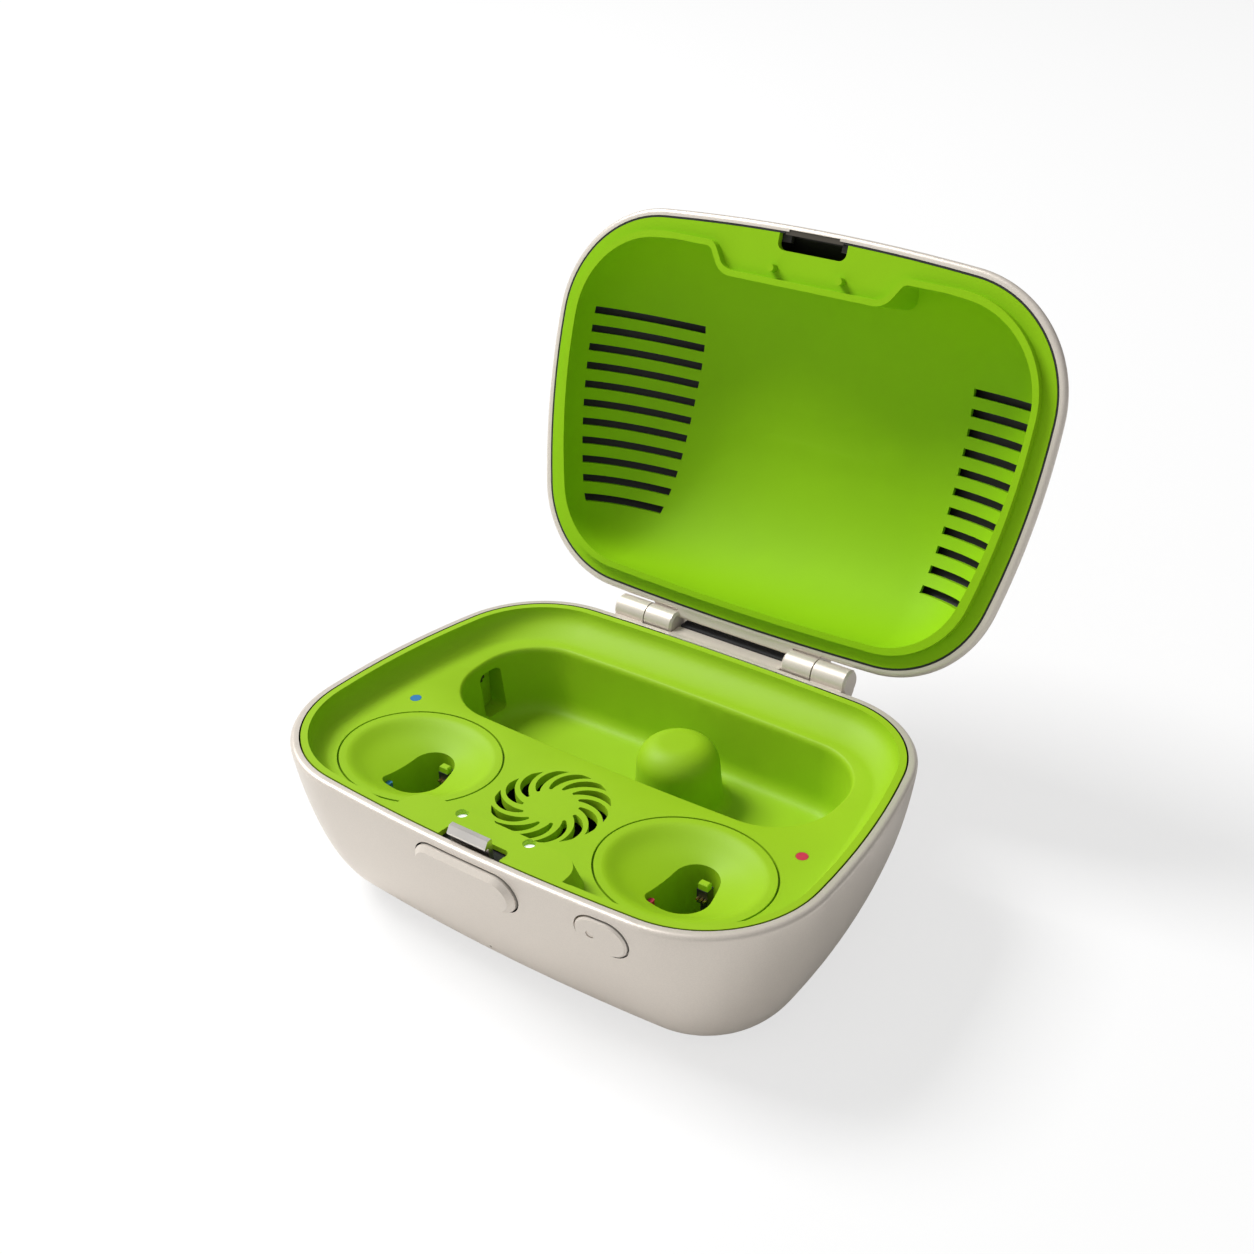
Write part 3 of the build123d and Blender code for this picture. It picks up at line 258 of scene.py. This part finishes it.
# %% [markdown]
# ## Lime green moulded plastic
# Tray, liner and wells are moulded in one lime green plastic with a fine spark eroded texture. The
# texture is far too small to model, so it is a bump: two noises, one at about 0.2 mm for the grain
# and a wider one that makes the gloss uneven. The liner and the tray share the recipe. The liner
# shines less, because its face stands upright and would mirror the bright room.

# %% Lime plastic
LIME = (0.31, 0.54, 0.010)
LINER_LIME = (0.27, 0.54, 0.006)


def lime_plastic(name, colour, roughness, specular):
    material, start, shader = start_finish(name, colour, roughness, Specular_IOR_Level=specular)
    grain = noise(start, 4200.0, 3.0)
    cloud = noise(start, 90.0, 2.0)
    blend = cloud * 0.6 + grain * 0.4
    feed(shader, "Base Color", tinted(start, blend, shade(colour, 0.93), shade(colour, 1.07)))
    feed(shader, "Roughness", roughness - 0.06 + grain * 0.08 + cloud * 0.06)
    feed(shader, "Normal", relief(start, grain + cloud * 0.3, 0.03 * MM, 0.5))
    return material


lime = lime_plastic("lime plastic", LIME, roughness=0.52, specular=0.25)
lime_liner = lime_plastic("lime liner plastic", LINER_LIME, roughness=0.58, specular=0.1)
print("two greens made")

# %% [markdown]
# ## Rubber and black plastic
# The seals, the strip behind the hinge ledge and the base pad are soft black rubber. The strip lies
# in the shaded gap behind the ledge, so its black there is painted shade. Rubber is never pure black:
# it is a dark grey with a dusty, uneven sheen. Moulded black plastic is a little glossier and gets a
# finer grain.

# %% Black finishes
def black_finish(name, colour, roughness, grain_scale):
    material, start, shader = start_finish(name, colour, roughness)
    grain = noise(start, grain_scale, 4.0)
    dust = noise(start, 150.0, 3.0)
    feed(shader, "Base Color", tinted(start, dust, shade(colour, 0.75), shade(colour, 1.4)))
    feed(shader, "Roughness", roughness - 0.05 + dust * 0.12)
    feed(shader, "Normal", relief(start, grain, 0.04 * MM, 0.4))
    return material


rubber = black_finish("black rubber", (0.022, 0.022, 0.024), 0.72, 2500.0)
seal = black_finish("seal rubber", (0.010, 0.010, 0.009), 0.65, 3000.0)
black_plastic = black_finish("black plastic", (0.014, 0.014, 0.015), 0.38, 5000.0)
print("three black finishes made")

# %% [markdown]
# ## Metals
# The hook is nickel plated and brushed along its length. Brushing is noise stretched
# many times along one axis, which shifts the gloss and raises hair lines. Pins and screws get a
# turned version of it, and gold plating the same recipe with another colour. The keeper gets a near
# black steel as painted shade, so that it nearly vanishes in the shade of its pocket.

# %% Metals
def brushed_metal(name, colour, roughness, stretch, depth=0.3):
    material, start, shader = start_finish(name, colour, roughness, Metallic=1.0)
    lines = noise(start, 900.0, 3.0, stretch)
    smudge = noise(start, 250.0, 2.0)
    feed(shader, "Base Color", tinted(start, smudge, shade(colour, 0.9), shade(colour, 1.05)))
    feed(shader, "Roughness", roughness - 0.06 + lines * 0.1 + smudge * 0.05)
    feed(shader, "Normal", relief(start, lines, 0.01 * MM, depth))
    return material


nickel = brushed_metal("brushed nickel", (0.72, 0.69, 0.65), 0.30, (0.15, 6, 6))
steel = brushed_metal("ground steel", (0.58, 0.58, 0.58), 0.28, (0.15, 6, 6))
zinc = brushed_metal("zinc plate", (0.62, 0.62, 0.64), 0.32, (2, 2, 0.2))
gold = brushed_metal("gold plate", (0.83, 0.60, 0.25), 0.25, (0.3, 4, 4))
tin = brushed_metal("tin plate", (0.70, 0.70, 0.70), 0.30, (4, 0.3, 4))
alloy = brushed_metal("rolled alloy", (0.75, 0.76, 0.77), 0.36, (0.1, 5, 5))
# Near black steel for the keeper: painted shade, so it sinks into the shade of its pocket.
keeper_shade_steel = brushed_metal("near black steel as painted shade", (0.10, 0.09, 0.075), 0.42, (0.15, 6, 6))
print("seven metals made")

# %% [markdown]
# ## Signal colours
# A blue and a red mark tell left from right: a dot beside each well and a tab inside it. They are
# small inlays of glossy plastic. The white light guides and the lens of the power light get a faint
# glow as a constant emission: a painted glow, since no lamp in the scene lights them.

# %% Small plastics
def small_plastic(name, colour, roughness=0.35, **constants):
    material, start, shader = start_finish(name, colour, roughness, **constants)
    grain = noise(start, 3000.0, 2.0)
    feed(shader, "Base Color", tinted(start, grain, shade(colour, 0.9), shade(colour, 1.08)))
    feed(shader, "Roughness", roughness - 0.04 + grain * 0.08)
    feed(shader, "Normal", relief(start, grain, 0.02 * MM, 0.3))
    return material


blue = small_plastic("blue plastic", (0.03, 0.20, 0.46))
red = small_plastic("red plastic", (0.58, 0.03, 0.08))
# Guide and lens glow as a constant emission, a painted glow with no lamp behind them.
milky = small_plastic("milky guide with painted glow", (0.85, 0.87, 0.87), 0.3,
                      Emission_Color=(1, 1, 1, 1), Emission_Strength=0.45)
lens = small_plastic("frosted lens with painted glow", (0.62, 0.56, 0.49), 0.4,
                     Emission_Color=(1, 0.9, 0.8, 1), Emission_Strength=0.08)
print("four small plastics made")

# %% [markdown]
# ## Inner parts
# Board, battery and motor sit below the tray, yet they show through the fan slots and whenever the
# model is taken apart. The board is lacquered laminate, and copper tracks under the lacquer are a
# lighter green: a coarse brick pattern is enough for lines that turn at right angles. The battery is
# a crinkled foil pouch, and the motor shows copper windings as fine rings.

# %% Inner finishes
def lacquered_board(name):
    material, start, shader = start_finish(name, (0.01, 0.12, 0.04), 0.3, Coat_Weight=0.5, Coat_Roughness=0.1)
    tracks = start.node("ShaderNodeTexBrick", {"offset": 0.35, "squash": 0.6, "squash_frequency": 3},
                        {"Vector": place(start), "Scale": 420.0, "Mortar Size": 0.06, "Mortar Smooth": 0.1,
                         "Brick Width": 1.7, "Row Height": 0.5}, output="Fac")
    weave = noise(start, 1500.0, 1.0)
    feed(shader, "Base Color", tinted(start, tracks, (0.008, 0.10, 0.03), (0.03, 0.24, 0.07)))
    feed(shader, "Normal", relief(start, tracks + weave * 0.2, 0.03 * MM, 0.5))
    return material


def foil_pouch(name):
    material, start, shader = start_finish(name, (0.45, 0.46, 0.48), 0.3, Metallic=0.8)
    crinkle = noise(start, 180.0, 4.0)
    feed(shader, "Roughness", 0.22 + crinkle * 0.2)
    feed(shader, "Normal", relief(start, crinkle, 0.25 * MM, 0.5))
    return material


def copper_winding(name, centre):
    material, start, shader = start_finish(name, (0.50, 0.20, 0.07), 0.32, Metallic=0.9)
    shifted = start.node("ShaderNodeVectorMath", {"operation": "SUBTRACT"}, {0: place(start), 1: centre})
    rings = start.node("ShaderNodeTexWave", {"wave_type": "RINGS", "rings_direction": "Z"},
                       {"Vector": shifted, "Scale": 700.0, "Distortion": 0.4})
    feed(shader, "Base Color", tinted(start, rings, (0.22, 0.07, 0.02), (0.60, 0.26, 0.09)))
    feed(shader, "Normal", relief(start, rings, 0.08 * MM, 0.7))
    return material


board_finish = lacquered_board("lacquered board")
pouch = foil_pouch("foil pouch")
winding = copper_winding("copper winding", middle("fan_motor"))
print("inner finishes made")

# %% [markdown]
# ## Smooth copies of the CAD parts
# A CAD node comes as loose triangles, which Blender shades as facets, and a curved wall would show
# them. So each large moulding gets a copy: its doubles are merged, every face is smooth, and only the
# edges that turn by more than a limit stay sharp. The copy stands for the node and rides on the same
# body.

# %% Skin helper
BODY_OF = {}
for body_name, members in frame["record"]["behaviour"]["bodies"].items():
    for member in members:
        BODY_OF[member] = body_name


MERGE_DISTANCE = 0.002 * MM
SHARP_FROM = math.radians(35)


def merged_copy(node):
    """A bmesh of a CAD node with its doubles merged."""
    copy = bmesh.new()
    copy.from_mesh(nodes[node].data)
    bmesh.ops.remove_doubles(copy, verts=copy.verts, dist=MERGE_DISTANCE)
    return copy


def smooth_by_angle(mesh_data):
    """Smooth faces everywhere, with the sharp edges kept sharp."""
    for face in mesh_data.faces:
        face.smooth = True
    for edge in mesh_data.edges:
        edge.smooth = len(edge.link_faces) != 2 or edge.calc_face_angle() < SHARP_FROM


def skin(node, material):
    """A merged and smooth copy of a CAD node, which replaces it on the same body."""
    copy = merged_copy(node)
    smooth_by_angle(copy)
    mesh = bpy.data.meshes.new(f"{node}_skin")
    copy.to_mesh(mesh)
    copy.free()
    mesh.materials.append(material)
    piece = bpy.data.objects.new(f"{node}_skin", mesh)
    scene.collection.objects.link(piece)
    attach(piece, BODY_OF[node])
    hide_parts(node)
    return piece


print("bodies:", sorted(set(BODY_OF.values())))

# %% [markdown]
# ## Painted shells and green mouldings
# The shells and the four green mouldings carry the picture. Their rims already have real fillets in
# the CAD model, so the copies only need smooth normals. Inside, the lid is bare: paint is sprayed
# from outside, so its faces that look into the case show the pale plastic itself. The faces inside
# the base, under the lid's rim and in the keeper's pocket get a near black material instead: painted
# shade for the seams and the pocket.

# %% Shells
# Near black for painted shade in the seams and pocket, pale for the lid's bare inside.
painted_shade_dark = black_finish("near black painted shade", (0.020, 0.018, 0.015), 0.6, 2500.0)
bare_pale = black_finish("bare pale plastic", (0.36, 0.34, 0.33), 0.5, 2500.0)
hinge_line = middle("hinge_pins")
NEAR_HINGE = 4.5 * MM       # the knuckles are painted all round
HEART_DEPTH = 5 * MM        # below the rim, to the point that the base's painted-shade faces look at
BEHIND_TRAY = 1 * MM        # the shell's inner wall ends here, and the painted hinge arms start


def give_bare_or_shade(shell, material, is_bare):
    """Gives the faces that a test picks a further material, away from the hinge."""
    shell.data.materials.append(material)
    index = len(shell.data.materials) - 1
    count = 0
    for face in shell.data.polygons:
        from_hinge = (face.center - hinge_line) * Vector((0, 1, 1))
        if from_hinge.length > NEAR_HINGE and is_bare(face):
            face.material_index = index
            count += 1
    return count


def looks_at(point):
    """A test for faces whose front side is turned to a point."""
    return lambda face: face.normal.dot(point - face.center) > 0


base_skin = skin("base_shell", paint)
lid_skin = skin("lid_shell", paint)
cover_skin = skin("bottom_cover", paint)
base_heart = middle("base_shell")
base_heart.z = rim_z - HEART_DEPTH
back_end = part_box("tray")[1][1] + BEHIND_TRAY
faces_heart = looks_at(base_heart)
# The base's count is of near black painted-shade faces, the lid's of bare pale faces.
print(give_bare_or_shade(base_skin, painted_shade_dark, lambda face: faces_heart(face) and face.center.y < back_end),
      "bare faces in the base,",
      give_bare_or_shade(lid_skin, bare_pale, looks_at(middle("lid_liner"))), "in the lid")

# %% Painted shade on the ledge and pocket in the lid's free edge
LID_OPEN = math.radians(110.4)
lid_inward = Vector((0, math.sin(LID_OPEN), math.cos(LID_OPEN)))
LEDGE_DEPTH = 0.6 * MM
POCKET_HALF, POCKET_REACH = 7.5 * MM, 9 * MM
keeper_middle = middle("lid_keeper")
faces_liner = looks_at(middle("lid_liner"))


def in_lid_shade(face):
    """Faces under the lid's rim that look out of the lid, and all faces of the keeper's pocket: the faces
    that get painted shade.
    """
    depth = (face.center - hinge_line).dot(lid_inward)
    on_ledge = face.normal.dot(lid_inward) < -0.5 and depth > LEDGE_DEPTH
    beside = face.center - keeper_middle
    near_keeper = abs(beside.x) < POCKET_HALF and beside.length < POCKET_REACH
    return on_ledge or (near_keeper and faces_liner(face))


# The ledge and pocket faces get the near black material as painted shade.
print(give_bare_or_shade(lid_skin, painted_shade_dark, in_lid_shade), "dark faces under the lid's rim")

# %% Green mouldings
for node in ("tray", "well_insert_left", "well_insert_right"):
    moulding = skin(node, lime)
    print(moulding.name, len(moulding.data.polygons), "faces")
liner_skin = skin("lid_liner", lime_liner)
print(liner_skin.name, len(liner_skin.data.polygons), "faces")

# %% [markdown]
# ## Finishes on the parts that stay as they are
# The other CAD parts already have the right shape. They keep their own object, and only the material
# in their first slot changes.

# %% Carry the rest over
FINISH_OF = {
    # The black rubber of hinge_strip fills the shaded gap behind the hinge ledge: painted shade there.
    "base_pad": rubber, "hinge_strip": rubber, "tray_gasket": seal, "lid_gasket": seal,
    "cover_screws": zinc, "board_screws": zinc, "hinge_pins": steel, "latch_springs": steel,
    # The keeper's near black steel is painted shade.
    "latch_hook": nickel, "lid_keeper": keeper_shade_steel, "latch_button": paint, "power_button": paint,
    "power_light": lens, "latch_carriage": black_plastic, "fan_frame": black_plastic,
    "fan_rotor": black_plastic, "fan_motor": winding, "main_board": board_finish,
    "switch_board": board_finish, "heater_plate": alloy, "battery": pouch, "usb_socket": tin,
    "power_switch": black_plastic, "sensor_guides": milky, "compartment_clip": black_plastic,
}
for side, colour in (("left", blue), ("right", red)):
    FINISH_OF[f"contact_block_{side}"] = black_plastic
    FINISH_OF[f"contact_cap_{side}"] = lime
    FINISH_OF[f"contact_pins_{side}"] = gold
    FINISH_OF[f"side_tab_{side}"] = colour
    FINISH_OF[f"side_dot_{side}"] = colour
for node, material in FINISH_OF.items():
    nodes[node].data.materials.clear()
    nodes[node].data.materials.append(material)
print(len(FINISH_OF), "nodes carried over")

# %% [markdown]
# ## Floor, light and world
# The set is a white table in a pale room. The case itself needs only a moderate light, or its paint
# would burn out, and at that light a white table renders grey. So the camera sees the table as a mix
# of its real shading and plain white, by Light Path's camera ray, and the shadow stays as a faint
# grey. The room is brighter in front than behind, and a little brighter on the left, which models
# the round corners. One large lamp, high on the left, draws the soft shadows inside the tray.

# %% Floor
TABLE_WHITE = 0.68
bpy.ops.mesh.primitive_plane_add(size=6)
floor = bpy.context.object
floor.name = "floor"
floor_material, floor_start, floor_shader = start_finish("white table", (0.95, 0.95, 0.95), 0.8,
                                                         Specular_IOR_Level=0.2)
seen = floor_start.node("ShaderNodeLightPath", output="Is Camera Ray")
plain = floor_start.node("ShaderNodeEmission", inputs={"Strength": 1.0})
mixed = floor_start.node("ShaderNodeMixShader", inputs={0: seen * TABLE_WHITE, 2: plain})
floor_start.tree.links.new(floor_shader.outputs[0], mixed.socket.node.inputs[1])
table_output = floor_start.tree.nodes["Material Output"]
floor_start.tree.links.new(mixed.socket, table_output.inputs["Surface"])
floor.data.materials.append(floor_material)
print("floor at z =", floor.location.z)

# %% World
ROOM, ROOM_SHINE = 0.32, 1.5
ROOM_SLOPE = {"X": -0.06, "Y": -0.20, "Z": 0.03}    # brighter to the left, in front and above
world = bpy.data.worlds.new("pale room")
scene.world = world
world.use_nodes = True
sky = Signal(world.node_tree)
background = world.node_tree.nodes["Background"]
background.inputs["Color"].default_value = (1, 1, 1, 1)
direction = sky.node("ShaderNodeTexCoord", output="Generated")
room = sum(sky.node("ShaderNodeSeparateXYZ", inputs={0: direction}, output=axis) * slope
           for axis, slope in ROOM_SLOPE.items()) + ROOM
camera_ray = sky.node("ShaderNodeLightPath", output="Is Camera Ray")
glossy_ray = sky.node("ShaderNodeLightPath", output="Is Glossy Ray")
feed(background, "Strength", camera_ray + (1 - camera_ray) * room * (1 + glossy_ray * (ROOM_SHINE - 1)))
print("room level", ROOM, "with slopes", ROOM_SLOPE)

# %% Lamps
def lamp(name, place_mm, aim_mm, width_mm, watts):
    """A square area lamp turned towards a point."""
    data = bpy.data.lights.new(name, "AREA")
    data.energy, data.size = watts, width_mm * MM
    made = bpy.data.objects.new(name, data)
    made.location = Vector(place_mm) * MM
    towards = (Vector(aim_mm) - Vector(place_mm)).normalized()
    made.rotation_euler = towards.to_track_quat("-Z", "Y").to_euler()
    scene.collection.objects.link(made)
    return made


key = lamp("key", place_mm=(-930, -150, 1190), aim_mm=(0, 0, 30), width_mm=640, watts=23.0)
print("key lamp", key.data.energy, "W")

# %% [markdown]
# ## View transform
# The view transform is Standard, so that a colour renders about as it is written.

# %% Finish
scene.view_settings.view_transform = "Standard"
